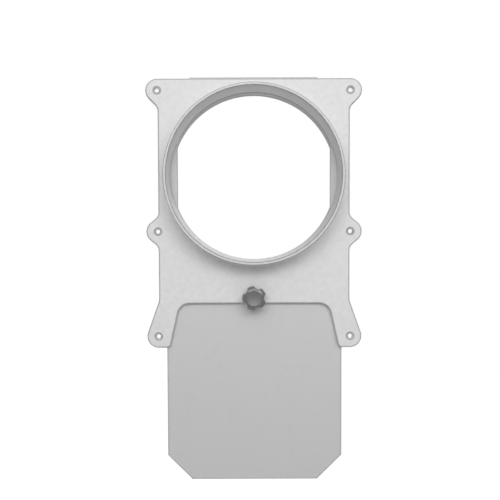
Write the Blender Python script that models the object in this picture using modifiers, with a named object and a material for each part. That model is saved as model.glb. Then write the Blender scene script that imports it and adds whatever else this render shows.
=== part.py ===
# Blast gate for an 8 inch dust duct.
# Two cast aluminium halves, riveted together at six lugs, form a slot for a flat gate plate that slides
# up and down. Each half carries a duct collar. A knob on a threaded stud locks the plate.
#
# Metres, +Z up. The origin is on the duct's axis, halfway through the gate plate. The front faces -Y,
# and left and right are as seen from the front. The gate is modelled open, with its plate down.

import math

import bmesh
import bpy
from mathutils import Matrix

MM = 0.001

# Gate plate
PLATE_THICKNESS = 3.0 * MM
PLATE_LENGTH = 467.5 * MM
PLATE_LAP = 5.6 * MM  # the plate covers the bore by this much on each side
PLATE_ABOVE_CASTING = 2.0 * MM
PLATE_CHAMFER = 28.5 * MM
WINDOW_MARGIN = 2.0 * MM  # the window's round ends clear the bore by this much
WINDOW_FLAT_INSET = 10.0 * MM  # its straight sides cut this much off each side of the round

# Slot between the castings
SLOT_FACE_CLEARANCE = 0.3 * MM
SLOT_SIDE_CLEARANCE = 0.6 * MM
PARTING_GAP = 0.3 * MM

# Flat body of each casting
FLANGE_THICKNESS = 6.0 * MM
SIDE_RAIL = 8.0 * MM
EDGE_ROUND = 1.4 * MM

# Lugs and legs
LUG_RADIUS = 13.4 * MM
LUG_OUTSET = 0.55 * MM  # each lug's centre lies this far outside the body's side
TOP_LUG_SLOPE = math.radians(45)  # the lug's flank falls straight to the body's side
TOP_LUG_FILLET = 12.0 * MM
MIDDLE_LUG_SLOPE = math.radians(40)
MIDDLE_LUG_FILLET = 10.0 * MM
MIDDLE_LUG_BELOW_AXIS = 63.9 * MM
LEG_SPLAY = math.radians(19.5)
LEG_KNEE_RADIUS = 16.0 * MM

# Grip notch between the legs
NOTCH_DEPTH = 51.2 * MM
LEG_INNER_REACH = 13.4 * MM  # from the leg's lug in to the leg's inner side, at the foot
NOTCH_LEAN = math.radians(12.5)
NOTCH_CORNER_RADIUS = 14.0 * MM
LEG_TOE_RADIUS = 5.5 * MM

# Duct collars, and the body's reach above and below them
COLLAR_RADIUS = 101.6 * MM
COLLAR_TO_TOP = 9.4 * MM
COLLAR_TO_NOTCH = 45.8 * MM
COLLAR_HEIGHT = 31.7 * MM
COLLAR_DRAFT = math.radians(0.7)
COLLAR_FILLET = 3.0 * MM
RIM_WALL = 3.6 * MM
RIM_ROUND = 0.8 * MM
BORE_TAPER = 2.0 * MM  # the drafted bore is this much narrower, in radius, at the gate plate

# Hollow rivets
RIVET_BORE_RADIUS = 3.2 * MM
RIVET_WALL = 0.5 * MM
RIVET_FLARE = 0.8 * MM
RIVET_THROAT_RADIUS = 2.3 * MM  # the bore is narrowest just behind the front flare
RIVET_THROAT_LENGTH = 1.5 * MM
RIVET_CLEARANCE = 0.3 * MM

# Lock stud and knob
STUD_RADIUS = 3.0 * MM
STUD_CHAMFER = 0.6 * MM
STUD_CLEARANCE = 0.3 * MM
STUD_INSET = 9.0 * MM  # length of stud inside the knob
LOCK_ABOVE_NOTCH = 7.4 * MM
KNOB_STANDOFF = 1.5 * MM
KNOB_RADIUS = 13.6 * MM
KNOB_VALLEY_RADIUS = 10.7 * MM
KNOB_LOBES = 5
SCALLOP_RADIUS = 5.3 * MM
KNOB_HUB_RADIUS = 6.8 * MM
KNOB_HUB_HEIGHT = 3.0 * MM
KNOB_LOBE_HEIGHT = 11.4 * MM
KNOB_TIP_CHAMFER = 0.6 * MM
KNOB_CONE_RADIUS = 11.2 * MM  # a low cone rises from the lobes' flat fronts to the dished end
KNOB_CONE_HEIGHT = 0.9 * MM
DISH_RADIUS = 8.7 * MM
DISH_DEPTH = 1.5 * MM
LOBE_CORNER_RADIUS = 0.8 * MM

# Worked out from the values above
RIM_BORE_RADIUS = COLLAR_RADIUS - RIM_WALL
BORE_RADIUS = RIM_BORE_RADIUS - BORE_TAPER
WINDOW_RADIUS = BORE_RADIUS + WINDOW_MARGIN
PLATE_SIDE = BORE_RADIUS + PLATE_LAP
SLOT_SIDE = PLATE_SIDE + SLOT_SIDE_CLEARANCE
BODY_SIDE = SLOT_SIDE + SIDE_RAIL
BODY_TOP = COLLAR_RADIUS + COLLAR_TO_TOP
NOTCH_TOP = -COLLAR_RADIUS - COLLAR_TO_NOTCH
BODY_BOTTOM = NOTCH_TOP - NOTCH_DEPTH
PLATE_TOP = BODY_TOP + PLATE_ABOVE_CASTING
PLATE_BOTTOM = PLATE_TOP - PLATE_LENGTH
LUG_X = BODY_SIDE + LUG_OUTSET
TOP_LUG_HEIGHT = BODY_TOP - LUG_RADIUS
MIDDLE_LUG_HEIGHT = -MIDDLE_LUG_BELOW_AXIS
LEG_LUG_HEIGHT = BODY_BOTTOM + LUG_RADIUS
LUG_HEIGHTS = {"top": TOP_LUG_HEIGHT, "middle": MIDDLE_LUG_HEIGHT, "leg": LEG_LUG_HEIGHT}
PLATE_FACE = PLATE_THICKNESS / 2
SLOT_WALL = PLATE_FACE + SLOT_FACE_CLEARANCE
FACE = SLOT_WALL + FLANGE_THICKNESS
RIM = FACE + COLLAR_HEIGHT
PARTING_FACE = PARTING_GAP / 2
LOCK_HEIGHT = NOTCH_TOP + LOCK_ABOVE_NOTCH
KNOB_BASE = FACE + KNOB_STANDOFF

# How finely round shapes are cut up
COLLAR_STEPS = 96
RIVET_STEPS = 16
STUD_STEPS = 20
KNOB_STEPS = 60
ARC_STEP = math.radians(12)
SMALL_ARC_STEP = math.radians(30)
FILLET_STEP = math.radians(20)

NEAR = 0.001 * MM  # points closer than this are one point
CUT_OVERRUN = 2.0 * MM  # cutters run past the faces that they cut
FILLET_SINK = 0.1 * MM  # the collar's fillet dips this far into the flange, for a clean union
TO_FRONT = Matrix.Rotation(math.pi / 2, 4, "X")  # turns +Z to -Y, and +Y to +Z
TO_BACK = Matrix.Rotation(math.pi, 4, "Z") @ TO_FRONT


def clear_scene():
    for obj in list(bpy.data.objects):
        bpy.data.objects.remove(obj, do_unlink=True)


def new_collection(name):
    collection = bpy.data.collections.new(name)
    bpy.context.scene.collection.children.link(collection)
    return collection


def new_material(name, colour, roughness, metallic):
    material = bpy.data.materials.new(name)
    material.use_nodes = True
    material.diffuse_color = (*colour, 1)
    shader = material.node_tree.nodes["Principled BSDF"]
    shader.inputs["Base Color"].default_value = (*colour, 1)
    shader.inputs["Roughness"].default_value = roughness
    shader.inputs["Metallic"].default_value = metallic
    return material


def as_cutter(obj):
    obj.hide_render = True
    obj.display_type = "WIRE"
    return obj


def arc(centre_x, centre_y, radius, start, end, step=ARC_STEP):
    # Points along a circular arc from one angle to the other, both ends included
    count = max(2, math.ceil(abs(end - start) / step))
    angles = [start + (end - start) * i / count for i in range(count + 1)]
    return [(centre_x + radius * math.cos(a), centre_y + radius * math.sin(a)) for a in angles]


def mirrored(right):
    # Closes an outline whose right half runs from the top to the bottom. Points on the middle line
    # itself are kept once.
    return right + [(-x, y) for x, y in reversed(right) if x > NEAR]


def extruded(name, outlines, thickness, collection):
    # A flat sheet in the local XY plane, solid between its outlines, and as a mesh with welded caps
    curve = bpy.data.curves.new(name, "CURVE")
    curve.dimensions = "2D"
    curve.fill_mode = "BOTH"
    curve.extrude = thickness / 2
    for outline in outlines:
        spline = curve.splines.new("POLY")
        spline.points.add(len(outline) - 1)
        for point, (x, y) in zip(spline.points, outline):
            point.co = (x, y, 0, 1)
        spline.use_cyclic_u = True
    guide = bpy.data.objects.new(name + "_curve", curve)
    collection.objects.link(guide)
    bpy.context.view_layer.update()
    mesh = bpy.data.meshes.new_from_object(guide.evaluated_get(bpy.context.evaluated_depsgraph_get()))
    bpy.data.objects.remove(guide)
    mesh.name = name
    bm = bmesh.new()
    bm.from_mesh(mesh)
    bmesh.ops.remove_doubles(bm, verts=bm.verts, dist=NEAR)
    bmesh.ops.recalc_face_normals(bm, faces=bm.faces)
    bm.to_mesh(mesh)
    bm.free()
    obj = bpy.data.objects.new(name, mesh)
    collection.objects.link(obj)
    return obj


def round_front_edge(obj, width, segments):
    # Rounds the outline's edge on the side that faces local +Z
    bm = bmesh.new()
    bm.from_mesh(obj.data)
    top = max(v.co.z for v in bm.verts)
    cap = [f for f in bm.faces if all(abs(v.co.z - top) < width / 100 for v in f.verts)]
    bmesh.ops.dissolve_faces(bm, faces=cap)
    cap = [f for f in bm.faces if all(abs(v.co.z - top) < width / 100 for v in f.verts)]
    edges = [e for f in cap for e in f.edges]
    bmesh.ops.bevel(bm, geom=edges, offset=width, segments=segments, profile=0.5, affect="EDGES")
    bm.to_mesh(obj.data)
    bm.free()


def turned(name, profile, steps, collection, closed=False):
    # Revolves (radius, height) points about local Z. The outer side is listed from top to bottom.
    mesh = bpy.data.meshes.new(name)
    edges = [(i, i + 1) for i in range(len(profile) - 1)]
    if closed:
        edges.append((len(profile) - 1, 0))
    mesh.from_pydata([(radius, 0, height) for radius, height in profile], edges, [])
    obj = bpy.data.objects.new(name, mesh)
    collection.objects.link(obj)
    screw = obj.modifiers.new("Turn", "SCREW")
    screw.axis = "Z"
    screw.steps = steps
    screw.render_steps = steps
    screw.use_merge_vertices = True
    screw.merge_threshold = NEAR
    screw.use_smooth_shade = True
    return obj


def boolean(obj, other, operation):
    modifier = obj.modifiers.new(f"{operation.title()} {other.name}", "BOOLEAN")
    modifier.operation = operation
    modifier.object = other
    modifier.solver = "EXACT"


def lug_arc(height, start, end):
    return arc(LUG_X, height, LUG_RADIUS, start, end)


def lug_flank(height, slope, fillet, side):
    # The concave blend at the foot of a lug's straight flank, from the flank on to the body's side.
    # It lies below the lug (side -1) or above it (side +1).
    turn = math.pi / 2 - slope
    flank_x, flank_drop = lug_arc(0, turn, 0)[0]
    foot_drop = flank_drop + (flank_x - BODY_SIDE) * math.tan(slope)
    blend_drop = foot_drop + fillet * math.tan(turn / 2)
    blend = arc(BODY_SIDE + fillet, -blend_drop, fillet, math.pi - turn, math.pi)
    return [(x, height - side * y) for x, y in blend]


def top_lug():
    turn = math.pi / 2 - TOP_LUG_SLOPE
    points = lug_arc(TOP_LUG_HEIGHT, math.pi / 2, -turn)
    return points + lug_flank(TOP_LUG_HEIGHT, TOP_LUG_SLOPE, TOP_LUG_FILLET, -1)


def middle_lug():
    turn = math.pi / 2 - MIDDLE_LUG_SLOPE
    above = lug_flank(MIDDLE_LUG_HEIGHT, MIDDLE_LUG_SLOPE, MIDDLE_LUG_FILLET, 1)
    below = lug_flank(MIDDLE_LUG_HEIGHT, MIDDLE_LUG_SLOPE, MIDDLE_LUG_FILLET, -1)
    return above[::-1] + lug_arc(MIDDLE_LUG_HEIGHT, turn, -turn) + below


def leg():
    # The knee, where the side starts to splay, the lug round the foot, the toe, the leg's inner side,
    # which leans outwards, and the grip notch's corner
    splay_x, splay_y = lug_arc(LEG_LUG_HEIGHT, LEG_SPLAY, 0)[0]
    knee_y = splay_y + (splay_x - BODY_SIDE) / math.tan(LEG_SPLAY)
    knee_start = knee_y + LEG_KNEE_RADIUS * math.tan(LEG_SPLAY / 2)
    points = arc(BODY_SIDE + LEG_KNEE_RADIUS, knee_start, LEG_KNEE_RADIUS, math.pi, math.pi + LEG_SPLAY)
    points += lug_arc(LEG_LUG_HEIGHT, LEG_SPLAY, -math.pi / 2)

    turn = math.pi / 2 - NOTCH_LEAN
    toe_x = LUG_X - LEG_INNER_REACH
    toe_centre_x = toe_x + LEG_TOE_RADIUS * math.tan(turn / 2)
    toe_centre_y = BODY_BOTTOM + LEG_TOE_RADIUS
    points += arc(toe_centre_x, toe_centre_y, LEG_TOE_RADIUS, -math.pi / 2, -math.pi / 2 - turn)
    notch_x = toe_x - NOTCH_DEPTH * math.tan(NOTCH_LEAN)
    corner_x = notch_x - NOTCH_CORNER_RADIUS * math.tan(turn / 2)
    corner_y = NOTCH_TOP - NOTCH_CORNER_RADIUS
    points += arc(corner_x, corner_y, NOTCH_CORNER_RADIUS, math.pi / 2 - turn, math.pi / 2)
    return points


def casting_outline():
    return mirrored([(0, BODY_TOP)] + top_lug() + middle_lug() + leg() + [(0, NOTCH_TOP)])


def collar_profile():
    # Outer side of a collar, from the rim's flat face down to the fillet's foot in the flange
    profile = [(0, RIM)]
    profile += arc(COLLAR_RADIUS - RIM_ROUND, RIM - RIM_ROUND, RIM_ROUND, math.pi / 2, 0, SMALL_ARC_STEP)
    foot_angle = math.radians(80)
    fillet_y = FACE - FILLET_SINK + COLLAR_FILLET * math.sin(foot_angle)
    wall_radius = COLLAR_RADIUS + (RIM - RIM_ROUND - fillet_y) * math.tan(COLLAR_DRAFT)
    fillet_x = wall_radius + COLLAR_FILLET
    profile += arc(fillet_x, fillet_y, COLLAR_FILLET, math.pi, math.pi + foot_angle, FILLET_STEP)
    foot_radius = profile[-1][0]
    inside_flange = FACE - FLANGE_THICKNESS / 2
    return profile + [(foot_radius, inside_flange), (0, inside_flange)]


def bore_profile():
    # The duct bore through both collars: widest at the rims, and drafted in to the gate plate
    mouth_radius = RIM_BORE_RADIUS + RIM_ROUND
    front = [(0, RIM + CUT_OVERRUN), (mouth_radius, RIM + CUT_OVERRUN)]
    front += arc(mouth_radius, RIM - RIM_ROUND, RIM_ROUND, math.pi / 2, math.pi, SMALL_ARC_STEP)
    return front + [(BORE_RADIUS, 0)] + [(radius, -height) for radius, height in reversed(front)]


def rivet_profile():
    # A tube whose ends are flared at 45 degrees, flush with the castings' faces. The front flare runs on
    # inwards to the throat, and behind the throat the bore opens out at the same slope.
    outside = RIVET_BORE_RADIUS + RIVET_WALL
    inner_lip = outside + RIVET_FLARE - RIVET_WALL * math.sqrt(2)
    outer = [(outside + RIVET_FLARE, FACE), (outside, FACE - RIVET_FLARE)]
    back = [(inner_lip, -FACE), (RIVET_BORE_RADIUS, -FACE + inner_lip - RIVET_BORE_RADIUS)]
    throat_top = FACE - inner_lip + RIVET_THROAT_RADIUS
    throat_foot = throat_top - RIVET_THROAT_LENGTH
    throat = [
        (RIVET_BORE_RADIUS, throat_foot - RIVET_BORE_RADIUS + RIVET_THROAT_RADIUS),
        (RIVET_THROAT_RADIUS, throat_foot),
        (RIVET_THROAT_RADIUS, throat_top),
        (inner_lip, FACE),
    ]
    return outer + [(r, -h) for r, h in reversed(outer)] + back + throat


def rivet_hole_profile():
    # The rivet's outside with a clearance all over, and its cones run on past the faces
    tube = RIVET_BORE_RADIUS + RIVET_WALL + RIVET_CLEARANCE
    mouth = RIVET_BORE_RADIUS + RIVET_WALL + RIVET_FLARE + RIVET_CLEARANCE * math.sqrt(2)
    end = FACE + CUT_OVERRUN
    top = [(0, end), (mouth + CUT_OVERRUN, end), (tube, FACE - (mouth - tube))]
    return top + [(r, -h) for r, h in reversed(top)]


def make_cutters(collection):
    bore = turned("bore_cutter", bore_profile(), COLLAR_STEPS, collection)
    bore.matrix_world = TO_FRONT

    bpy.ops.mesh.primitive_cube_add(size=1)
    slot = bpy.context.object
    slot.name = "slot_cutter"
    slot.scale = (2 * SLOT_SIDE, 2 * SLOT_WALL, BODY_TOP - BODY_BOTTOM + 2 * CUT_OVERRUN)
    slot.location = (0, 0, (BODY_TOP + BODY_BOTTOM) / 2)
    for owner in list(slot.users_collection):
        owner.objects.unlink(slot)
    collection.objects.link(slot)

    holes = []
    for row, height in LUG_HEIGHTS.items():
        for side in (-1, 1):
            hole = turned("rivet_hole_cutter", rivet_hole_profile(), RIVET_STEPS, collection)
            hole.matrix_world = Matrix.Translation((side * LUG_X, 0, height)) @ TO_FRONT
            holes.append(hole)

    radius = STUD_RADIUS + STUD_CLEARANCE
    profile = [(0, FACE + CUT_OVERRUN), (radius, FACE + CUT_OVERRUN), (radius, 0), (0, 0)]
    lock_hole = turned("lock_hole_cutter", profile, STUD_STEPS, collection)
    lock_hole.matrix_world = Matrix.Translation((0, 0, LOCK_HEIGHT)) @ TO_FRONT
    for cutter in [bore, slot, lock_hole] + holes:
        as_cutter(cutter)
    return [bore, slot] + holes, lock_hole


def make_casting(name, facing, cutters, material, parts, tools):
    thickness = FACE - PARTING_FACE
    casting = extruded(name, [casting_outline()], thickness, parts)
    round_front_edge(casting, EDGE_ROUND, 2)
    casting.data.transform(Matrix.Translation((0, 0, PARTING_FACE + thickness / 2)))
    casting.matrix_world = facing
    casting.data.materials.append(material)
    collar = as_cutter(turned(name + "_collar", collar_profile(), COLLAR_STEPS, tools))
    collar.matrix_world = facing
    boolean(casting, collar, "UNION")
    for cutter in cutters:
        boolean(casting, cutter, "DIFFERENCE")
    return casting


def make_gate_plate(material, parts):
    right = [
        (PLATE_SIDE - PLATE_CHAMFER, PLATE_TOP),
        (PLATE_SIDE, PLATE_TOP - PLATE_CHAMFER),
        (PLATE_SIDE, PLATE_BOTTOM + PLATE_CHAMFER),
        (PLATE_SIDE - PLATE_CHAMFER, PLATE_BOTTOM),
    ]
    corner = math.acos(1 - WINDOW_FLAT_INSET / WINDOW_RADIUS)
    top_right = arc(0, 0, WINDOW_RADIUS, math.pi / 2, corner)
    window = mirrored(top_right + [(x, -y) for x, y in reversed(top_right)])
    plate = extruded("gate_plate", [mirrored(right), window], PLATE_THICKNESS, parts)
    plate.matrix_world = TO_FRONT
    plate.data.materials.append(material)
    return plate


def make_rivets(material, parts):
    rivets = []
    for row, height in LUG_HEIGHTS.items():
        for side, word in ((-1, "left"), (1, "right")):
            rivet = turned(f"rivet_{row}_{word}", rivet_profile(), RIVET_STEPS, parts, closed=True)
            rivet.matrix_world = Matrix.Translation((side * LUG_X, 0, height)) @ TO_FRONT
            rivet.data.materials.append(material)
            rivets.append(rivet)
    return rivets


def make_lock_stud(material, parts):
    # Its own heights run outwards from the middle of the gate plate
    tip = PLATE_FACE + SLOT_FACE_CLEARANCE
    end = KNOB_BASE + STUD_INSET
    shoulder = STUD_RADIUS - STUD_CHAMFER
    profile = [(0, end), (shoulder, end), (STUD_RADIUS, end - STUD_CHAMFER)]
    profile += [(STUD_RADIUS, tip + STUD_CHAMFER), (shoulder, tip), (0, tip)]
    stud = turned("lock_stud", profile, STUD_STEPS, parts)
    stud.matrix_world = Matrix.Translation((0, 0, LOCK_HEIGHT)) @ TO_FRONT
    stud.data.materials.append(material)
    return stud


def knob_outline():
    # Lobes with rounded corners between hollow scallops, anticlockwise. One lobe points left. Each
    # corner's arc touches the lobe's outer circle from inside and the scallop's circle from outside.
    outer = KNOB_RADIUS - LOBE_CORNER_RADIUS
    inner = SCALLOP_RADIUS + LOBE_CORNER_RADIUS
    reach = KNOB_VALLEY_RADIUS + SCALLOP_RADIUS
    at_middle = math.acos((reach**2 + outer**2 - inner**2) / (2 * reach * outer))
    at_scallop = math.acos((reach**2 + inner**2 - outer**2) / (2 * reach * inner))
    spacing = 2 * math.pi / KNOB_LOBES
    points = []
    for lobe in range(KNOB_LOBES):
        valley = math.pi + (lobe + 0.5) * spacing
        before, after = valley - at_middle, valley + at_middle
        first = (outer * math.cos(before), outer * math.sin(before), LOBE_CORNER_RADIUS)
        scallop = (reach * math.cos(valley), reach * math.sin(valley), SCALLOP_RADIUS)
        second = (outer * math.cos(after), outer * math.sin(after), LOBE_CORNER_RADIUS)
        points += arc(*first, before, valley + at_scallop, SMALL_ARC_STEP)[:-1]
        points += arc(*scallop, valley + math.pi + at_scallop, valley + math.pi - at_scallop)[:-1]
        points += arc(*second, valley - at_scallop, after, SMALL_ARC_STEP)[:-1]
        points += arc(0, 0, KNOB_RADIUS, after, before + spacing)[:-1]
    return points


def knob_profile():
    # Heights from the knob's base: dished end, low cone, flat lobes with chamfered tips, hub, and a
    # blind hole for the stud. The chamfer and the lobes' back run on past the outline that trims them.
    lobe_bottom = KNOB_HUB_HEIGHT
    lobe_top = lobe_bottom + KNOB_LOBE_HEIGHT
    rim = lobe_top + KNOB_CONE_HEIGHT
    shares = (0, 0.35, 0.6, 0.8, 0.92, 1)
    dish = [(DISH_RADIUS * share, rim - DISH_DEPTH * (1 - share**2)) for share in shares]
    trimmed = KNOB_RADIUS + CUT_OVERRUN
    hole_radius = STUD_RADIUS + STUD_CLEARANCE
    hole_end = STUD_INSET + STUD_CLEARANCE
    return dish + [
        (KNOB_CONE_RADIUS, lobe_top),
        (KNOB_RADIUS - KNOB_TIP_CHAMFER, lobe_top),
        (trimmed, lobe_top - KNOB_TIP_CHAMFER - CUT_OVERRUN),
        (trimmed, lobe_bottom),
        (KNOB_HUB_RADIUS, lobe_bottom),
        (KNOB_HUB_RADIUS, 0),
        (hole_radius, 0),
        (hole_radius, hole_end),
        (0, hole_end),
    ]


def make_lock_knob(material, parts, tools):
    place = Matrix.Translation((0, -KNOB_BASE, LOCK_HEIGHT)) @ TO_FRONT
    knob = turned("lock_knob", knob_profile(), KNOB_STEPS, parts)
    knob.data.materials.append(material)
    knob.matrix_world = place
    height = KNOB_HUB_HEIGHT + KNOB_LOBE_HEIGHT + KNOB_CONE_HEIGHT
    lobes = as_cutter(extruded("lobes_cutter", [knob_outline()], height + 2 * CUT_OVERRUN, tools))
    lobes.matrix_world = place @ Matrix.Translation((0, 0, height / 2))
    boolean(knob, lobes, "INTERSECT")
    return knob


def main():
    clear_scene()
    parts = new_collection("blast_gate")
    tools = new_collection("cutters")
    cast = new_material("cast_aluminium", (0.72, 0.72, 0.71), 0.55, 0.6)
    sheet = new_material("sheet_aluminium", (0.6, 0.6, 0.6), 0.45, 0.7)
    plastic = new_material("knob_plastic", (0.1, 0.1, 0.1), 0.5, 0)
    steel = new_material("zinc_plated_steel", (0.6, 0.6, 0.58), 0.35, 1)

    cutters, lock_hole = make_cutters(tools)
    pieces = [
        make_casting("front_casting", TO_FRONT, cutters + [lock_hole], cast, parts, tools),
        make_casting("rear_casting", TO_BACK, cutters, cast, parts, tools),
        make_gate_plate(sheet, parts),
        make_lock_stud(steel, parts),
        make_lock_knob(plastic, parts, tools),
    ]
    pieces += make_rivets(steel, parts)

    root = bpy.data.objects.new("blast_gate", None)
    parts.objects.link(root)
    for piece in pieces:
        piece.parent = root
    bpy.context.view_layer.update()


main()
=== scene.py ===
# Finished surfaces of a cast aluminium blast gate: two castings, the sliding plate, six hollow rivets,
# and the stud and knob that lock the plate. Metres, +Z up, and the front faces -Y.
import math

import bmesh
import bpy
import numpy as np
from mathutils import Matrix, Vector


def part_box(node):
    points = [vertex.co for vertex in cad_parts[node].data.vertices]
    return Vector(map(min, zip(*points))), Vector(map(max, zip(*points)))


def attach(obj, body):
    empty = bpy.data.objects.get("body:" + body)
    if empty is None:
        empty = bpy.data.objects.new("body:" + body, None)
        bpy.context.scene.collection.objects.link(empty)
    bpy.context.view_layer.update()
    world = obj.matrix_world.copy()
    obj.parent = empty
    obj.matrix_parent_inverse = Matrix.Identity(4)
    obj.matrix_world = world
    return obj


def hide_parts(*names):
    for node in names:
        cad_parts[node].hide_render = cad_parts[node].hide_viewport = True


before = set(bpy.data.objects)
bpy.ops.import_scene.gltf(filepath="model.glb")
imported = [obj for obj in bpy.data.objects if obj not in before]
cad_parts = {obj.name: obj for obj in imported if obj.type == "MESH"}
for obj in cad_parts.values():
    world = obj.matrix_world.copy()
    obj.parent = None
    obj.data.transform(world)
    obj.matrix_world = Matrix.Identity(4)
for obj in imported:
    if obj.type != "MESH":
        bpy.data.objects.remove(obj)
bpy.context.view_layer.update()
print("frame loaded:", len(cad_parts), "nodes")

mm = 0.001
lugRows = ("top", "middle", "leg")
sides = {"left": -1, "right": 1}
meshing = {
    "mergeWithin": 0.002 * mm,
    "flatWithin": 0.01 * mm,  # a loop this close to a flat's height is filled with it
    "sharpFrom": math.radians(38),
    "outlineStep": math.radians(3),
    "profilePoints": 7,
}


# Places read from the frame

def cornersOf(node):
    low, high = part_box(node)
    return np.array(low), np.array(high)


def middleOf(node):
    low, high = cornersOf(node)
    return (low + high) / 2


castLow, castHigh = cornersOf("front_casting")
plateLow, plateHigh = cornersOf("gate_plate")
knobLow, knobHigh = cornersOf("lock_knob")
studLow, studHigh = cornersOf("lock_stud")
rivetLow, rivetHigh = cornersOf("rivet_top_right")
lugX = middleOf("rivet_top_right")[0]
place = {
    "top": castHigh[2],
    "bottom": castLow[2],
    "rim": -castLow[1],  # heights are counted outwards from the middle of the gate plate
    "parting": -castHigh[1],
    "face": -rivetLow[1],
    "mouth": rivetHigh[0] - lugX,  # radius of a rivet's hole at the face
    "lugZ": {row: middleOf(f"rivet_{row}_right")[2] for row in lugRows},
    "lockZ": middleOf("lock_stud")[2],
}


# Surfaces from grids of points

def gridQuads(rows, columns, closed=False, skip=()):
    # Neighbouring points of a grid, stored row after row, make its quads. A closed grid joins its last
    # column to its first, and the quads after a skipped column are left out.
    index = np.arange(rows * columns).reshape(rows, columns)
    if closed:
        index = np.hstack([index, index[:, :1]])
    quads = np.stack([index[:-1, :-1], index[:-1, 1:], index[1:, 1:], index[1:, :-1]], axis=-1)
    keep = np.ones(quads.shape[1], bool)
    keep[list(skip)] = False
    return quads[:, keep].reshape(-1, 4)


def gridPoints(x, y, z):
    # Whole arrays of x, y and z, spread to one grid, become a list of points
    return np.stack(np.broadcast_arrays(x, y, z), axis=-1).reshape(-1, 3)


def turnAngles(steps):
    # Even angles round a whole turn, with its start and end counted once
    return np.linspace(0, 2 * math.pi, steps, endpoint=False)


def turnedPatch(radius, height, mask, steps, centre=(0, 0)):
    # Revolves a profile: x = radius cos a, z = radius sin a, and y is the height. The radius is a column
    # with one number for each row, or a grid where it changes with the angle too.
    angle = turnAngles(steps)
    points = gridPoints(centre[0] + radius * np.cos(angle), height, centre[1] + radius * np.sin(angle))
    return points, gridQuads(len(height), steps, closed=True), np.repeat(mask, steps)


def carriedPatch(loop, inset, height, mask, skip=()):
    # Carries a profile along a loop: each point is the loop's, moved in by the inset against the way out
    x = loop[:, 0] - loop[:, 2] * inset
    z = loop[:, 1] - loop[:, 3] * inset
    quads = gridQuads(len(height), len(loop), closed=True, skip=skip)
    return gridPoints(x, height, z), quads, np.repeat(mask, len(loop))


def arcRun(centre, radius, start, end, step=meshing["outlineStep"], hollow=False):
    # Rows of x, z and the way out of the metal: away from the arc's centre, or towards it where hollow
    count = max(3, math.ceil(abs(end - start) / step) + 1)
    angle = np.linspace(start, end, count)
    out = np.stack([np.cos(angle), np.sin(angle)], axis=1)
    return np.hstack([np.array(centre) + radius * out, -out if hollow else out])


def profileArc(centre, radius, start, end, count=meshing["profilePoints"]):
    # Points of a profile along an arc, in radius or inset and in height. Angles are in degrees.
    angle = np.radians(np.linspace(start, end, count))
    return np.stack([centre[0] + radius * np.cos(angle), centre[1] + radius * np.sin(angle)], axis=1)


def joinRuns(runs):
    # Stacks runs of profile points, each with its mask: one number, or one for each point
    rows = np.vstack([points for points, mask in runs])
    return rows, np.concatenate([np.zeros(len(points)) + mask for points, mask in runs])


def mirroredLoop(right):
    # Closes a loop whose right half starts and ends on the middle line
    left = right[-2:0:-1] * np.array([-1, 1, -1, 1] + [1] * (right.shape[1] - 4))
    return np.vstack([right, left])


def addObject(name, data):
    made = bpy.data.objects.new(name, data)
    bpy.context.scene.collection.objects.link(made)
    return made


def newPiece(name, patches, flats=(), facing=1):
    # Joins patches of points, quads and mask values into one closed mesh. The mask is painted shade on
    # the castings' and plate's edges and bore, and is 1 on the rivets' flares and in the knob's dish. Each
    # flat is a height at which the open loops are filled. The height axis points to the back, or to the
    # front where facing is -1.
    points = np.vstack([patch[0] for patch in patches])
    starts = np.cumsum([0] + [len(patch[0]) for patch in patches[:-1]])
    quads = np.vstack([patch[1] + start for patch, start in zip(patches, starts)])
    points[:, 1] *= facing
    mesh = bpy.data.meshes.new(name)
    mesh.from_pydata(points.tolist(), [], quads.tolist())
    mask = mesh.attributes.new("mask", "FLOAT", "POINT")
    mask.data.foreach_set("value", np.concatenate([patch[2] for patch in patches]).astype(np.float32))

    solid = bmesh.new()
    solid.from_mesh(mesh)
    bmesh.ops.remove_doubles(solid, verts=solid.verts, dist=meshing["mergeWithin"])
    for height in flats:
        level, near = height * facing, meshing["flatWithin"]
        loose = [edge for edge in solid.edges if edge.is_boundary]
        rims = [edge for edge in loose if all(abs(v.co.y - level) < near for v in edge.verts)]
        bmesh.ops.triangle_fill(solid, use_beauty=True, use_dissolve=False, edges=rims, normal=(0, 1, 0))
    bmesh.ops.recalc_face_normals(solid, faces=solid.faces)
    openEdges = sum(not e.is_manifold for e in solid.edges)
    solid.to_mesh(mesh)
    solid.free()
    mesh.shade_smooth()
    mesh.set_sharp_from_angle(angle=meshing["sharpFrom"])
    print(f"{name}: {len(mesh.polygons)} faces, {openEdges} open edges")
    return addObject(name, mesh)


def dress(piece, material, body, slot, *nodes):
    piece.data.materials.append(material)
    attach(piece, body)
    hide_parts(*nodes)


# Castings

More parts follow.
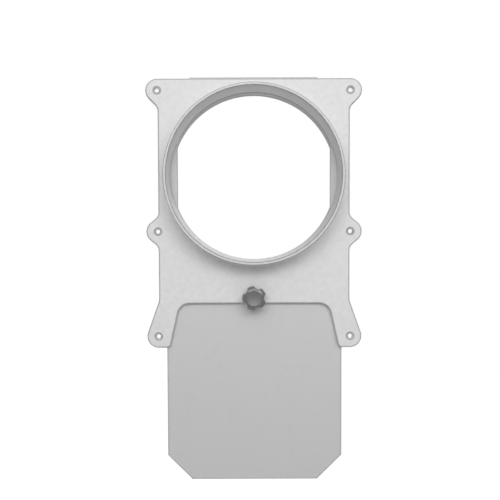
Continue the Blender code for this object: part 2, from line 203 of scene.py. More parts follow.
casting = {
    "lugRadius": 13.4 * mm,
    "lugOutset": 0.55 * mm,
    "topFlank": (math.radians(45), 12 * mm),  # slope and the blend at its foot
    "middleFlank": (math.radians(40), 10 * mm),
    "legSplay": math.radians(19.5),
    "kneeRadius": 16 * mm,
    "toeRadius": 5.5 * mm,
    "legReach": 13.4 * mm,
    "notchLean": math.radians(12.5),
    "notchRadius": 14 * mm,
    "lockAboveNotch": 7.4 * mm,
    "slotFaceGap": 0.3 * mm,
    "slotSideGap": 0.6 * mm,
    "sideDraft": math.radians(1),
    "partingRound": 0.3 * mm,
    "edgeRound": 1.9 * mm,
    "flatRing": 0.5 * mm,  # the first ring of every flat, which keeps its shading level
    "collarRadius": 101.6 * mm,
    "collarDraft": math.radians(0.7),
    "collarFoot": 3 * mm,
    "rimWall": 3.6 * mm,
    "rimRound": 0.9 * mm,
    "boreRound": 1.2 * mm,
    "boreTaper": 2 * mm,
    "boreEdge": 0.35 * mm,
    "rivetGap": 0.3 * mm,
    "holeEdge": 0.25 * mm,
    "lockHole": 3.3 * mm,
    "lockMouth": 3.8 * mm,
    "collarSteps": 360,
    "holeSteps": 48,
    "edgeShade": {  # how much painted shade darkens each edge, from 0 to 1
        "parting": (0, 0.5, 0.5, 0),
        "crown": 0.55,
        "rim": 0.15,
        "rimOutside": 0.85,  # added at the rim's outer and inner rounding
        "rimInside": 0.65,
        "boreEdge": (1, 1, 0),
        "hole": (0, 0.6, 1, 0.4, 0, 0),
    },
    # painted shade in the bore of each half, how deep it runs and what is left of it further down
    "boreShade": {"frontHalf": 0.0, "rearHalf": 0.45},
    "shadeDepth": 12 * mm,
    "shadeBelow": (0.6, 0.4),  # what is left of the shade halfway down the bore, and at its end
}

plateHalf = plateHigh[1]
slotWall = plateHalf + casting["slotFaceGap"]
slotSide = plateHigh[0] + casting["slotSideGap"]
notchTop = place["lockZ"] - casting["lockAboveNotch"]
bodySide = lugX - casting["lugOutset"]


def lugFlank(z, flank, side):
    # Over the lug at height z where side is 1, and under it where side is -1. The straight flank leaves
    # the lug where the lug's own slope is the flank's. Its foot blends into the body's side on a hollow
    # arc that touches both.
    slope, blend = flank
    turn = math.pi / 2 - slope
    leaveX = lugX + casting["lugRadius"] * math.cos(turn)
    drop = casting["lugRadius"] * math.sin(turn) + (leaveX - bodySide) * math.tan(slope)
    drop += blend * math.tan(turn / 2)
    ends = (math.pi - turn, math.pi) if side < 0 else (math.pi, math.pi + turn)
    return arcRun((bodySide + blend, z + side * drop), blend, *ends, hollow=True)


def castingLoop():
    # The outline as rows of x, z, the way out, and 1 where the wall stands over the slot
    form, lugR, top, bottom = casting, casting["lugRadius"], place["top"], place["bottom"]
    topZ, middleZ, legZ = [place["lugZ"][row] for row in lugRows]
    topTurn = math.pi / 2 - form["topFlank"][0]
    middleTurn = math.pi / 2 - form["middleFlank"][0]

    splay, kneeR = form["legSplay"], form["kneeRadius"]
    splayX = lugX + lugR * math.cos(splay)
    splayZ = legZ + lugR * math.sin(splay)
    kneeZ = splayZ + (splayX - bodySide) / math.tan(splay) + kneeR * math.tan(splay / 2)

    lean = form["notchLean"]
    turn = math.pi / 2 - lean
    toeX, toeR, notchR = lugX - form["legReach"], form["toeRadius"], form["notchRadius"]
    notchX = toeX - (notchTop - bottom) * math.tan(lean)
    toeCentre = (toeX + toeR * math.tan(turn / 2), bottom + toeR)
    notchCentre = (notchX - notchR * math.tan(turn / 2), notchTop - notchR)

    above = [[0, top, 0, 1], [slotSide, top, 0, 1]]
    beside = np.vstack([
        [[slotSide, top, 0, 1]],
        arcRun((lugX, topZ), lugR, math.pi / 2, -topTurn),
        lugFlank(topZ, form["topFlank"], -1),
        lugFlank(middleZ, form["middleFlank"], 1),
        arcRun((lugX, middleZ), lugR, middleTurn, -middleTurn),
        lugFlank(middleZ, form["middleFlank"], -1),
        arcRun((bodySide + kneeR, kneeZ), kneeR, math.pi, math.pi + splay, hollow=True),
        arcRun((lugX, legZ), lugR, splay, -math.pi / 2),
        [[slotSide, bottom, 0, -1]],
    ])
    below = np.vstack([
        [[slotSide, bottom, 0, -1]],
        arcRun(toeCentre, toeR, -math.pi / 2, -math.pi / 2 - turn),
        arcRun(notchCentre, notchR, math.pi / 2 - turn, math.pi / 2, hollow=True),
        [[0, notchTop, 0, -1]],
    ])
    return mirroredLoop(np.column_stack(joinRuns([(above, 1), (beside, 0), (below, 1)])))


def wallProfile():
    # Inset from the outline and height, with the mask, from the parting face to the flat's first ring
    low, high, soft, edge = place["parting"], place["face"], casting["partingRound"], casting["edgeRound"]
    edgeShade, draft = casting["edgeShade"], math.tan(casting["sideDraft"])
    lean = (high - edge - low) * draft
    crown = profileArc((lean + edge, high - edge), edge, 180, 90, 9)
    swell = np.sin(np.linspace(0, math.pi, len(crown)))
    return joinRuns([
        (profileArc((soft, low + soft), soft, 270, 180, 4), edgeShade["parting"]),
        ([[(slotWall - low) * draft, slotWall], [lean / 2, (low + high - edge) / 2]], 0),
        (crown, edgeShade["crown"] * swell),
        ([[lean + edge + casting["flatRing"], high]], 0),
    ])


def wallPatches():
    # The wall carries its profile along the outline. Over the slot its foot stays at the slot's wall, and
    # two short strips along the slot's sides close the step.
    loop = castingLoop()
    rows, paintedShade = wallProfile()
    inset, height = np.hsplit(rows, 2)
    slotRow = int(np.argmin(abs(height - slotWall)))
    cutOff = (np.arange(len(rows))[:, None] < slotRow) & (loop[:, 4] > 0.5)
    inset = np.where(cutOff, inset[slotRow], inset)
    height = np.where(cutOff, slotWall, height)
    step = np.linalg.norm(np.roll(loop[:, :2], -1, axis=0) - loop[:, :2], axis=1)
    doubled = np.flatnonzero(step < meshing["mergeWithin"])
    patches = [carriedPatch(loop, inset, height, paintedShade, skip=doubled)]
    strip = rows[:slotRow + 1]
    z = np.stack([place["top"] - strip[:, 0], place["bottom"] + strip[:, 0]], axis=1)
    for side in sides.values():
        points = gridPoints(side * slotSide, strip[:, 1:], z)
        patches.append((points, gridQuads(len(strip), 2), np.zeros(len(points))))
    return patches


def collarPatch(shade):
    # From the first ring of the flat, over the hollow foot, up the drafted outer wall, over the flat rim
    # and down the drafted bore to the slot's wall. The shade is painted shade that darkens the bore's
    # colour, most of all at the rim.
    form, face, rim, ring = casting, place["face"], place["rim"], casting["flatRing"]
    soft, inside, edge = form["rimRound"], form["boreRound"], form["boreEdge"]
    foot, outer, inner = form["collarFoot"], form["collarRadius"], form["collarRadius"] - form["rimWall"]
    edgeShade, draft = form["edgeShade"], math.tan(form["collarDraft"])
    footRadius = outer + (rim - soft - face - foot) * draft
    wall = [[outer + (rim - soft) * draft / 3, (face + 2 * rim) / 3], [outer, rim - soft - ring]]
    end = inner - form["boreTaper"] * (rim - inside - slotWall) / (rim - inside)
    deep, (halfway, last) = form["shadeDepth"], form["shadeBelow"]
    share = np.linspace(0, 1, meshing["profilePoints"])
    outsideShade = edgeShade["rim"] + edgeShade["rimOutside"] * np.sqrt(1 - share)
    insideShade = edgeShade["rim"] + edgeShade["rimInside"] * np.sin(math.pi * share)
    rows, paintedShade = joinRuns([
        ([[footRadius + foot + ring, face]], 0),
        (profileArc((footRadius + foot, face + foot), foot, 270, 180, 9), 0),
        (wall, 0),
        (profileArc((outer - soft, rim - soft), soft, 0, 90), outsideShade),
        (profileArc((inner + inside, rim - inside), inside, 90, 180), np.maximum(insideShade, shade * share)),
        ([[inner - (inner - end) * deep / (rim - slotWall), rim - inside - deep]], shade),
        ([[(inner + end) / 2, (rim + slotWall) / 2]], halfway * shade),
        (profileArc((end + edge, slotWall + edge), edge, 180, 270, 4), [last * shade, *edgeShade["boreEdge"]]),
    ])
    return turnedPatch(*np.hsplit(rows, 2), paintedShade, form["collarSteps"])


def holePatch(centre, mouth, tube, foot):
    # A hole with a cone at the face: first ring, three points round the soft mouth, cone and tube
    face, soft = place["face"], casting["holeEdge"]
    radius = [mouth + soft + casting["flatRing"], mouth + soft, mouth, mouth - soft, tube, tube]
    lead = 0.3 * soft
    height = [face, face, face - lead, face - lead - 0.9 * soft, face - lead - (mouth - tube), foot]
    rows = np.stack([radius, height], axis=1)
    return turnedPatch(*np.hsplit(rows, 2), casting["edgeShade"]["hole"], casting["holeSteps"], centre)


def makeCasting(name, facing, withLock):
    # Wall, collar and six rivet holes, and the lock's hole in the front half. The flats between them are
    # the parting face, the slot's wall and the flange's face.
    patches = wallPatches() + [collarPatch(casting["boreShade"][name])]
    tube = rivet["bore"] + rivet["wall"] + casting["rivetGap"]
    for row in lugRows:
        for side in sides.values():
            centre = (side * lugX, place["lugZ"][row])
            patches.append(holePatch(centre, place["mouth"], tube, place["parting"]))
    if withLock:
        patches.append(holePatch((0, place["lockZ"]), casting["lockMouth"], casting["lockHole"], slotWall))
    return newPiece(name, patches, (place["parting"], slotWall, place["face"]), facing)


# Gate plate

plate = {
    "chamfer": 28.5 * mm,
    "cornerRadius": 1.2 * mm,
    "windowRadius": 98 * mm,
    "windowHalfWidth": 88 * mm,
    "windowStep": math.radians(1.5),
    "edgeRound": 0.35 * mm,
    "flatRing": 1.2 * mm,
    "edgeShade": (0.6, 0.9, 1, 0.9, 0.6),  # painted shade across each soft edge
}


def plateLoops():
    # The outline has four cut corners. The window is a circle with straight sides.
    side, top, bottom = plateHigh[0], plateHigh[2], plateLow[2]
    cut, soft = plate["chamfer"], plate["cornerRadius"]
    tangent = soft * math.tan(math.pi / 8)
    eighth = math.pi / 4
    right = np.vstack([
        [[0, top, 0, 1]],
        arcRun((side - cut - tangent, top - soft), soft, 2 * eighth, eighth),
        arcRun((side - soft, top - cut - tangent), soft, eighth, 0),
        arcRun((side - soft, bottom + cut + tangent), soft, 0, -eighth),
        arcRun((side - cut - tangent, bottom + soft), soft, -eighth, -2 * eighth),
        [[0, bottom, 0, -1]],
    ])
    radius, step = plate["windowRadius"], plate["windowStep"]
    cornerX = plate["windowHalfWidth"] - soft
    cornerZ = math.sqrt((radius - soft) ** 2 - cornerX**2)
    reach = math.atan2(cornerZ, cornerX)
    window = np.vstack([
        arcRun((0, 0), radius, math.pi / 2, reach, step, hollow=True),
        arcRun((cornerX, cornerZ), soft, reach, 0, hollow=True),
        arcRun((cornerX, -cornerZ), soft, 0, -reach, hollow=True),
        arcRun((0, 0), radius, -reach, -math.pi / 2, step, hollow=True),
    ])
    return mirroredLoop(right), mirroredLoop(window)


def makePlate():
    # The sheet's edge is carried along both loops: first ring, soft edge, wall, soft edge, first ring
    half, soft, ring = plateHalf, plate["edgeRound"], plate["flatRing"]
    rows, paintedShade = joinRuns([
        ([[soft + ring, -half]], 0),
        (profileArc((soft, soft - half), soft, 270, 180, 5), plate["edgeShade"]),
        (profileArc((soft, half - soft), soft, 180, 90, 5), plate["edgeShade"]),
        ([[soft + ring, half]], 0),
    ])
    patches = [carriedPatch(loop, *np.hsplit(rows, 2), paintedShade) for loop in plateLoops()]
    return newPiece("slidingPlate", patches, (-half, half))


# Hollow rivets

rivet = {
    "bore": 3.2 * mm,
    "wall": 0.5 * mm,
    "lipRound": 0.2 * mm,
    "throat": 2.3 * mm,
    "throatLength": 1.0 * mm,
    "throatRound": 0.4 * mm,
    "tailRound": 1.1 * mm,
    "steps": 64,
}


def flareFoot(crest, radius, turn):
    # Height of the centre of a rounding that touches the flare's 45 degree slope and a bore
    diagonal = math.sqrt(0.5)
    return crest[-1, 1] - crest[-1, 0] + radius + turn * (1 - 2 * diagonal)


def makeRivet(name, centre):
    # A tube flared flush with both faces. The front flare narrows to a throat, and the profile is one
    # closed ring of its own: up the tube, over the front lip, through the throat, and back over the tail.
    bore, tube, face, soft = rivet["bore"], rivet["bore"] + rivet["wall"], place["face"], rivet["lipRound"]
    lip = place["mouth"] - casting["rivetGap"]
    outer = np.array([[tube, 0], [tube, face - (lip - tube) - 0.3 * soft]])
    crest = profileArc((lip - soft, face - soft), soft, -45, 135, 8)
    throat, turn, tailTurn = rivet["throat"], rivet["throatRound"], rivet["tailRound"]
    high = flareFoot(crest, throat, turn)
    neck = profileArc((throat + turn, high), turn, 135, 180, 5)
    step = profileArc((throat + turn, high - rivet["throatLength"]), turn, 180, 225, 5)
    wide = [[bore, step[-1, 1] - bore + step[-1, 0]]]
    tail = profileArc((bore + tailTurn, flareFoot(crest, bore, tailTurn)), tailTurn, 135, 180, 8)
    toBack = np.array([1, -1])
    rows, flared = joinRuns([
        (outer, 0), (crest, 1), (neck, np.linspace(1, 0, len(neck))), (step, 0), (wide, 0),
        (tail[::-1] * toBack, 0), (crest[::-1] * toBack, 1), (outer[::-1] * toBack, 0),
    ])
    return newPiece(name, [turnedPatch(*np.hsplit(rows, 2), flared, rivet["steps"], centre)], facing=-1)


# Lock stud

stud = {
    "radius": 2.98 * mm,
    "pitch": 1.0 * mm,
    "depth": 0.55 * mm,
    "crest": 1.15,  # the saw's peak and its fall on each flank, before it is cut to 0 to 1
    "flank": 1.3,
    "endRadius": 2.2 * mm,
    "rowsPerTurn": 10,
    "steps": 40,
}


def makeStud():
    # radius = root + depth x a rounded saw of (height / pitch - angle / turn), and the ends taper off
    low, high = -studHigh[1], -studLow[1]
    rows = round((high - low) / stud["pitch"] * stud["rowsPerTurn"])
    height = np.linspace(low, high, rows)[:, None]
    phase = (height / stud["pitch"] - turnAngles(stud["steps"]) / (2 * math.pi)) % 1
    saw = np.clip(stud["crest"] - abs(2 * phase - 1) * stud["flank"], 0, 1)
    radius = stud["radius"] - stud["depth"] * (1 - saw)
    radius = np.minimum(radius, stud["endRadius"] + np.minimum(height - low, high - height))
    patch = turnedPatch(radius, height, np.zeros(rows), stud["steps"], (0, place["lockZ"]))
    return newPiece("lockScrew", [patch], (low, high), facing=-1)


# Lock knob

knob = {
    "lobes": 5,
    "valley": 10.7 * mm,
    "scallop": 5.3 * mm,
    "corner": 0.8 * mm,
    "hubRadius": 6.8 * mm,
    "hubHeight": 3.0 * mm,
    "lobeHeight": 11.4 * mm,
    "edge": 0.4 * mm,
    "coneRadius": 11.2 * mm,
    "coneBlend": 0.8 * mm,
    "coneRows": (0.1, 0.9, 9),  # the first row, the last and how many, as shares of the slope
    "dishRadius": 8.7 * mm,
    "dishDepth": 1.5 * mm,
    "dishRows": (0.02, 0.98, 18),
    "lipRound": 0.5 * mm,
    "flatRing": 0.12 * mm,
    "baseRound": 0.3 * mm,
    "hole": 3.3 * mm,
    "holeDepth": 9.3 * mm,
    "steps": 360,
}


def lobeOutline(angle, outer):
    # Radius of the lobed outline: the scallop's circle, then a corner's circle that touches it and the
    # outer circle, then the outer circle. The angle is taken from the nearest valley.
    scallop, corner = knob["scallop"], knob["corner"]
    reach, inner, outerIn = knob["valley"] + scallop, scallop + corner, outer - corner
    atMiddle = math.acos((reach**2 + outerIn**2 - inner**2) / (2 * reach * outerIn))
    atScallop = math.acos((reach**2 + inner**2 - outerIn**2) / (2 * reach * inner))
    touch = math.atan2(scallop * math.sin(atScallop), reach - scallop * math.cos(atScallop))
    spacing = 2 * math.pi / knob["lobes"]
    turn = abs((angle - math.pi) % spacing - spacing / 2)
    hollow = reach * np.cos(turn) - np.sqrt(np.maximum(scallop**2 - (reach * np.sin(turn)) ** 2, 0))
    away = atMiddle - turn
    rounded = outerIn * np.cos(away) + np.sqrt(np.maximum(corner**2 - (outerIn * np.sin(away)) ** 2, 0))
    return np.where(turn < touch, hollow, np.where(turn < atMiddle, rounded, outer))


def knobProfile(outer, rim):
    # Radius, height over the knob's base, how far the lobed outline is drawn in at that height, and 1 on
    # the dish. It runs from the dish's middle over the lip, down the low cone, over the lobes and into
    # the hole.
    form, edge, lip, ring = knob, knob["edge"], knob["lipRound"], knob["flatRing"]
    lobeLow = form["hubHeight"]
    lobeTop = lobeLow + form["lobeHeight"]
    dishSlope = math.atan(2 * form["dishDepth"] / form["dishRadius"])
    coneSlope = math.atan((rim - lobeTop) / (form["coneRadius"] - form["dishRadius"]))
    dishEdge = form["dishRadius"] - lip * math.sin(dishSlope)
    drop = lip * (1 - math.cos(dishSlope))
    share = np.linspace(*form["dishRows"])
    dish = np.stack([dishEdge * share, rim - drop - form["dishDepth"] * (1 - share**2)], axis=1)
    crestEnds = 90 + math.degrees(dishSlope), 90 - math.degrees(coneSlope)
    crest = profileArc((form["dishRadius"], rim - lip), lip, *crestEnds)
    blend = form["coneBlend"]
    blendFoot = (form["coneRadius"] + blend * math.tan(coneSlope / 2), lobeTop + blend)
    foot = profileArc(blendFoot, blend, 270 - math.degrees(coneSlope), 270, 4)
    cone = crest[-1] + (foot[0] - crest[-1]) * np.linspace(*form["coneRows"])[:, None]
    front = np.vstack([dish, crest, cone, foot, foot[-1:] + [ring, 0]])

    turn = profileArc((0, 0), edge, 90, 0)
    top = np.stack([outer + 0 * turn[:, 0], lobeTop - edge + turn[:, 1], edge - turn[:, 0]], axis=1)
    under = top[::-1] * [1, -1, 1] + [0, lobeTop + lobeLow, 0]
    lobes = np.vstack([[[outer, lobeTop, edge + ring]], top, under, [[outer, lobeLow, edge + ring]]])
    hub, soft, hole = form["hubRadius"], form["baseRound"], form["hole"]
    back = np.vstack([
        [[hub + soft, lobeLow], [hub, lobeLow - soft]],
        profileArc((hub - soft, soft), soft, 0, -90, 4),
        [[hole + soft, 0], [hole, soft], [hole, form["holeDepth"]]],
    ])
    rows = np.vstack([
        np.column_stack([front, np.full(len(front), edge + ring)]),
        lobes,
        np.column_stack([back, np.full(len(back), edge)]),
    ])
    return np.column_stack([rows, np.arange(len(rows)) < len(dish)])


def makeKnob():
    # radius(angle, row) = the smaller of the profile's radius and the lobed outline's, drawn in
    base, outer = -knobHigh[1], -knobLow[0]
    radius, height, drawnIn, dish = np.hsplit(knobProfile(outer, knobHigh[1] - knobLow[1]), 4)
    radius = np.minimum(radius, lobeOutline(turnAngles(knob["steps"]), outer) - drawnIn)
    patch = turnedPatch(radius, base + height, dish[:, 0], knob["steps"], (0, place["lockZ"]))
    return newPiece("handKnob", [patch], (base + knob["holeDepth"], base + height[0, 0]), facing=-1)


# Node groups that several materials share

def newGroup(name, inputs, outputs):
    # Inputs are numbers with their starting values, after the vector that every group takes
    group = bpy.data.node_groups.new(name, "ShaderNodeTree")
    group.interface.new_socket(name="Vector", in_out="INPUT", socket_type="NodeSocketVector")
    for label, value in inputs.items():
        socket = group.interface.new_socket(name=label, in_out="INPUT", socket_type="NodeSocketFloat")
        socket.default_value = value
    for label in outputs:
        group.interface.new_socket(name=label, in_out="OUTPUT", socket_type="NodeSocketFloat")
    return group, group.nodes.new("NodeGroupInput").outputs, group.nodes.new("NodeGroupOutput").inputs


def setOrLink(tree, value, socket):
    if isinstance(value, bpy.types.NodeSocket):
        tree.links.new(value, socket)
    else:
        socket.default_value = value


def addMath(tree, operation, first, second):
    node = tree.nodes.new("ShaderNodeMath")
    node.operation = operation
    setOrLink(tree, first, node.inputs[0])
    setOrLink(tree, second, node.inputs[1])
    return node.outputs[0]


def addNoise(tree, vector, scale, detail, roughness=0.5):
    node = tree.nodes.new("ShaderNodeTexNoise")
    node.inputs["Detail"].default_value = detail
    node.inputs["Roughness"].default_value = roughness
    tree.links.new(vector, node.inputs["Vector"])
    setOrLink(tree, scale, node.inputs["Scale"])
    return node.outputs["Fac"]


def addMask(tree):
    node = tree.nodes.new("ShaderNodeAttribute")
    node.attribute_name = "mask"
    return node.outputs["Fac"]


def grainGroup():
    # Mottle is a soft blotch over a fine grain, around 0.5. Height is the same with the grain stronger.
    scales = {"Blotch Scale": 120.0, "Grain Scale": 900.0}
    group, given, result = newGroup("castGrain", scales, ("Mottle", "Height"))
    blotchShare = 0.65
    blotch = addNoise(group, given["Vector"], given["Blotch Scale"], 3.0, 0.6)
    grain = addNoise(group, given["Vector"], given["Grain Scale"], 2.0, 0.55)
    blotchPart = addMath(group, "MULTIPLY", blotch, blotchShare)
    grainPart = addMath(group, "MULTIPLY", grain, 1 - blotchShare)
    group.links.new(addMath(group, "ADD", blotchPart, grainPart), result["Mottle"])
    both = addMath(group, "ADD", blotch, grain)
    group.links.new(addMath(group, "MULTIPLY", both, 0.5), result["Height"])
    return group


def edgeGroup():
    # The mesh's mask, broken up by noise: 1 where painted shade darkens an edge or the bore
    group, given, result = newGroup("paintedEdgeShade", {"Amount": 0.5, "Break Scale": 260.0}, ("Painted Shade",))
    breaks = addNoise(group, given["Vector"], given["Break Scale"], 3.0, 0.6)
    broken = addMath(group, "MULTIPLY", addMask(group), addMath(group, "ADD", breaks, 0.5))
    group.links.new(addMath(group, "MULTIPLY", broken, given["Amount"]), result["Painted Shade"])
    return group


def streakGroup():
    # Noise drawn out along Z, as rolling leaves it in a sheet
    group, given, result = newGroup("rollStreaks", {"Scale": 220.0}, ("Streak",))
    stretch = group.nodes.new("ShaderNodeMapping")
    stretch.inputs["Scale"].default_value = (1, 1, 0.025)
    group.links.new(given["Vector"], stretch.inputs["Vector"])
    streak = addNoise(group, stretch.outputs["Vector"], given["Scale"], 4.0, 0.6)
    group.links.new(streak, result["Streak"])
    return group


groups = {"grain": grainGroup(), "edge": edgeGroup(), "streaks": streakGroup()}
print("node groups built")


# Materials

def newMaterial(name, metallic=0.0, specular=0.5):
    material = bpy.data.materials.new(name)
    material.use_nodes = True
    tree = material.node_tree
    shader = tree.nodes["Principled BSDF"]
    shader.inputs["Metallic"].default_value = metallic
    shader.inputs["Specular IOR Level"].default_value = specular
    where = tree.nodes.new("ShaderNodeTexCoord").outputs["Object"]
    return material, tree, shader, where


def useGroup(tree, key, where, values):
    node = tree.nodes.new("ShaderNodeGroup")
    node.node_tree = groups[key]
    tree.links.new(where, node.inputs["Vector"])
    for label, value in values.items():
        node.inputs[label].default_value = value
    return node.outputs


def useGrain(tree, where, scales):
    blotchScale, grainScale = scales
    return useGroup(tree, "grain", where, {"Blotch Scale": blotchScale, "Grain Scale": grainScale})


def ramp(tree, value, low, high, start=0.0, end=1.0):
    # Colours between two ends as the value goes from start to end
    node = tree.nodes.new("ShaderNodeValToRGB")
    node.color_ramp.elements[0].position = start
    node.color_ramp.elements[1].position = end
    node.color_ramp.elements[0].color = (*low, 1)
    node.color_ramp.elements[1].color = (*high, 1)
    tree.links.new(value, node.inputs["Fac"])
    return node.outputs["Color"]


def blendColour(tree, factor, first, second):
    # From the first colour, which is a socket, to the second as the factor goes from 0 to 1
    node = tree.nodes.new("ShaderNodeMix")
    node.data_type = "RGBA"
    tree.links.new(factor, node.inputs["Factor"])
    tree.links.new(first, node.inputs["A"])
    node.inputs["B"].default_value = (*second, 1)
    return node.outputs["Result"]


def mapRange(tree, value, low, high, start, end):
    # Numbers between low and high as the value goes from start to end
    node = tree.nodes.new("ShaderNodeMapRange")
    tree.links.new(value, node.inputs["Value"])
    for label, number in (("From Min", start), ("From Max", end), ("To Min", low), ("To Max", high)):
        node.inputs[label].default_value = number
    return node.outputs["Result"]


def addBump(tree, shader, height, distance):
    node = tree.nodes.new("ShaderNodeBump")
    node.inputs["Distance"].default_value = distance
    tree.links.new(height, node.inputs["Height"])
    tree.links.new(node.outputs["Normal"], shader.inputs["Normal"])


castFinish = {
    "dark": (0.7, 0.705, 0.705),
    "light": (0.78, 0.78, 0.775),
    "contrast": (0.36, 0.64),  # the mottle's values for the dark and the light colour
    # the colour of the painted shade on edges and in the bore
    "shadeColour": (0.25, 0.255, 0.255),
    "roughness": (0.62, 0.74),
    "roughnessContrast": (0.3, 0.7),
    "metallic": 0.15,
    "specular": 0.3,
    # how strongly the painted shade darkens
    "edge": 1.1,
    "grainScales": (170.0, 1100.0),  # blotches, then grains, in a metre
    "bump": 0.06 * mm,
}


def castMaterial():
    look = castFinish
    material, tree, shader, where = newMaterial("tumbledCastAluminium", look["metallic"], look["specular"])
    grain = useGrain(tree, where, look["grainScales"])
    edge = useGroup(tree, "edge", where, {"Amount": look["edge"]})
    colour = ramp(tree, grain["Mottle"], look["dark"], look["light"], *look["contrast"])
    # painted shade on the edges and in the bore
    colour = blendColour(tree, edge["Painted Shade"], colour, look["shadeColour"])
    rough = mapRange(tree, grain["Mottle"], *look["roughness"], *look["roughnessContrast"])
    tree.links.new(colour, shader.inputs["Base Color"])
    tree.links.new(rough, shader.inputs["Roughness"])
    addBump(tree, shader, grain["Height"], look["bump"])
    return material


sheetFinish = {
    "dark": (0.572, 0.576, 0.576),
    "light": (0.584, 0.585, 0.585),
    "contrast": (0.3, 0.7),
    "spot": (0.545, 0.55, 0.55),  # handling marks
    "spotRange": (0.56, 0.7),
    "spotScales": (60.0, 700.0),
    # the colour of the painted shade on the edges
    "shadeColour": (0.3, 0.3, 0.3),
    "roughness": (0.53, 0.58),
    "metallic": 0.2,
    "specular": 0.3,
    # how strongly the painted shade darkens
    "edge": 0.9,
    "streakScale": 240.0,
    "bump": 0.003 * mm,
}


def sheetMaterial():
    look = sheetFinish
    material, tree, shader, where = newMaterial("millFinishSheet", look["metallic"], look["specular"])
    streak = useGroup(tree, "streaks", where, {"Scale": look["streakScale"]})["Streak"]
    marks = useGrain(tree, where, look["spotScales"])
    edge = useGroup(tree, "edge", where, {"Amount": look["edge"]})
    colour = ramp(tree, streak, look["dark"], look["light"], *look["contrast"])
    spots = mapRange(tree, marks["Mottle"], 0, 1, *look["spotRange"])
    colour = blendColour(tree, spots, colour, look["spot"])
    # painted shade on the edges
    colour = blendColour(tree, edge["Painted Shade"], colour, look["shadeColour"])
    rough = mapRange(tree, streak, *look["roughness"], *look["contrast"])
    tree.links.new(colour, shader.inputs["Base Color"])
    tree.links.new(rough, shader.inputs["Roughness"])
    addBump(tree, shader, streak, look["bump"])
    return material


steelFinish = {
    "dark": (0.8, 0.8, 0.795),
    "light": (0.88, 0.88, 0.875),
    "masked": (0.47, 0.47, 0.465),  # the flares
    "contrast": (0.35, 0.65),
    "roughness": (0.24, 0.5),  # outside the mask and on it
    "metallic": 0.9,
    "specular": 0.5,
    "grainScales": (600.0, 3000.0),
    "bump": 0.01 * mm,
}
plasticFinish = {
    "dark": (0.074, 0.075, 0.078),
    "light": (0.094, 0.095, 0.098),
    "masked": (0.11, 0.11, 0.113),  # the dish
    "contrast": (0.35, 0.65),
    "roughness": (0.22, 0.48),
    "metallic": 0.0,
    "specular": 0.9,
    "grainScales": (500.0, 3500.0),
    "bump": 0.02 * mm,
}


def maskedMaterial(name, look):
    # A fine grain, with another colour and roughness where the mesh's mask is 1
    material, tree, shader, where = newMaterial(name, look["metallic"], look["specular"])
    grain = useGrain(tree, where, look["grainScales"])
    mask = addMask(tree)
    colour = ramp(tree, grain["Mottle"], look["dark"], look["light"], *look["contrast"])
    tree.links.new(blendColour(tree, mask, colour, look["masked"]), shader.inputs["Base Color"])
    tree.links.new(mapRange(tree, mask, *look["roughness"], 0, 1), shader.inputs["Roughness"])
    addBump(tree, shader, grain["Height"], look["bump"])
    return material


finish = {
    "cast": castMaterial(),
    "sheet": sheetMaterial(),
    "steel": maskedMaterial("zincPlatedSteel", steelFinish),
    "plastic": maskedMaterial("mouldedKnobPlastic", plasticFinish),
}
print("materials built")


# Pieces on their bodies

dress(makeCasting("frontHalf", -1, True), finish["cast"], "housing", "cast_aluminium", "front_casting")
dress(makeCasting("rearHalf", 1, False), finish["cast"], "housing", "cast_aluminium", "rear_casting")
dress(makePlate(), finish["sheet"], "gate", "sheet_aluminium", "gate_plate")
for row in lugRows:
    for word, side in sides.items():
        hollowRivet = makeRivet(f"hollowRivet_{row}_{word}", (side * lugX, place["lugZ"][row]))
        dress(hollowRivet, finish["steel"], "housing", "zinc_plated_steel", f"rivet_{row}_{word}")
dress(makeStud(), finish["steel"], "stud", "zinc_plated_steel", "lock_stud")
dress(makeKnob(), finish["plastic"], "knob", "knob_plastic", "lock_knob")
print("pieces placed")


# Floor, light and camera

studio = {
    "floorZ": -1.0,
    "floorSize": 60.0,
    "floorColour": 0.88,
    "floorRoughness": 0.8,
    "fibreScale": 40.0,
    "fibreShade": 0.01,
    "glowNear": 0.45,  # what the seen floor glows by under the object, and further out
    "glowFar": 0.86,
    "nearRadius": 0.6,
    "farRadius": 1.6,
    "ambient": 0.185,
    "aim": (0, 0, -0.12),
}
lamps = {
    "softKey": {"place": (0.1, -1.35, 0.43), "size": (1.5, 0.5), "power": 12.0},
    "softHigh": {"place": (-0.15, -1.5, 1.35), "size": (1.8, 1.4), "power": 6.5},
    "softLeft": {"place": (-1.2, -1.0, 0.3), "size": (0.8, 0.8), "power": 0.6},
    "softRight": {"place": (1.2, -1.0, 0.3), "size": (0.8, 0.8), "power": 0.6},
    "softBack": {"place": (0.4, 1.6, 0.7), "size": (1.4, 1.0), "power": 8.5},
}


def seenDirectly(tree):
    # 1 for camera, glossy and transmission rays, and 0 for the rays that light the object
    path = tree.nodes.new("ShaderNodeLightPath").outputs
    either = addMath(tree, "MAXIMUM", path["Is Camera Ray"], path["Is Glossy Ray"])
    return addMath(tree, "MAXIMUM", either, path["Is Transmission Ray"])


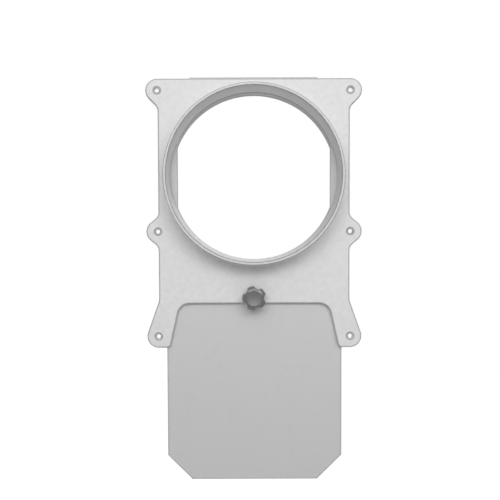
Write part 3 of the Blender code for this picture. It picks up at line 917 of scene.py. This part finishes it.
def paperMaterial():
    # Pale paper that glows a little where it is seen, more the further it lies from the object
    material, tree, shader, where = newMaterial("palePaper", specular=0.0)
    white = studio["floorColour"]
    fibre = addNoise(tree, where, studio["fibreScale"], 3.0)
    colour = ramp(tree, fibre, (white - studio["fibreShade"],) * 3, (white,) * 3)
    tree.links.new(colour, shader.inputs["Base Color"])
    shader.inputs["Roughness"].default_value = studio["floorRoughness"]
    shader.inputs["Emission Color"].default_value = (1, 1, 1, 1)
    flat = tree.nodes.new("ShaderNodeVectorMath")
    flat.operation = "MULTIPLY"
    flat.inputs[1].default_value = (1, 1, 0)
    tree.links.new(where, flat.inputs[0])
    away = tree.nodes.new("ShaderNodeVectorMath")
    away.operation = "LENGTH"
    tree.links.new(flat.outputs["Vector"], away.inputs[0])
    near, far = studio["nearRadius"], studio["farRadius"]
    glow = mapRange(tree, away.outputs["Value"], studio["glowNear"], studio["glowFar"], near, far)
    tree.links.new(addMath(tree, "MULTIPLY", seenDirectly(tree), glow), shader.inputs["Emission Strength"])
    return material


def makeFloor():
    # The floor keeps the object's shadow, and turns to plain white away from it
    mesh = bpy.data.meshes.new("paleFloor")
    corners = np.array([[-1, -1], [1, -1], [1, 1], [-1, 1]]) * studio["floorSize"] / 2
    points = np.hstack([corners, np.full((4, 1), studio["floorZ"])])
    mesh.from_pydata(points.tolist(), [], [[0, 1, 2, 3]])
    mesh.materials.append(paperMaterial())
    addObject("paleFloor", mesh)


def makeWorld():
    # Even ambient light on the object, and plain white wherever the world is seen
    world = bpy.data.worlds.new("whiteRoom")
    world.use_nodes = True
    tree = world.node_tree
    background = tree.nodes["Background"]
    background.inputs["Color"].default_value = (1, 1, 1, 1)
    ambient = studio["ambient"]
    seen = addMath(tree, "MULTIPLY", seenDirectly(tree), 1 - ambient)
    tree.links.new(addMath(tree, "ADD", seen, ambient), background.inputs["Strength"])
    bpy.context.scene.world = world


def makeLamps():
    # Each soft box looks at the same point of the object
    for name, lamp in lamps.items():
        light = bpy.data.lights.new(name, "AREA")
        light.shape = "RECTANGLE"
        light.size, light.size_y = lamp["size"]
        light.energy = lamp["power"]
        box = addObject(name, light)
        box.location = lamp["place"]
        x, y, z = np.array(studio["aim"]) - np.array(lamp["place"])
        box.rotation_euler = (math.atan2(math.hypot(x, y), -z), 0, math.atan2(-x, y))


view = {
    "place": (-0.00481, -0.9395, -0.05935),
    "downTilt": math.radians(2.52),
    "roll": math.radians(-0.198),
    "lens": 58.21,
    "sensor": 36.0,
    "rise": 0.026,
    "nearest": 0.01,
}


def makeCamera():
    camera = bpy.data.cameras.new("productView")
    camera.lens = view["lens"]
    camera.sensor_width = view["sensor"]
    camera.sensor_fit = "HORIZONTAL"
    camera.shift_y = view["rise"]
    camera.clip_start = view["nearest"]
    eye = addObject("productView", camera)
    tilt = Matrix.Rotation(math.pi / 2 - view["downTilt"], 4, "X")
    eye.matrix_world = Matrix.Translation(view["place"]) @ tilt @ Matrix.Rotation(view["roll"], 4, "Z")
    bpy.context.scene.camera = eye


makeFloor()
makeWorld()
makeLamps()
makeCamera()
bpy.context.scene.view_settings.view_transform = "Standard"
print("studio ready")
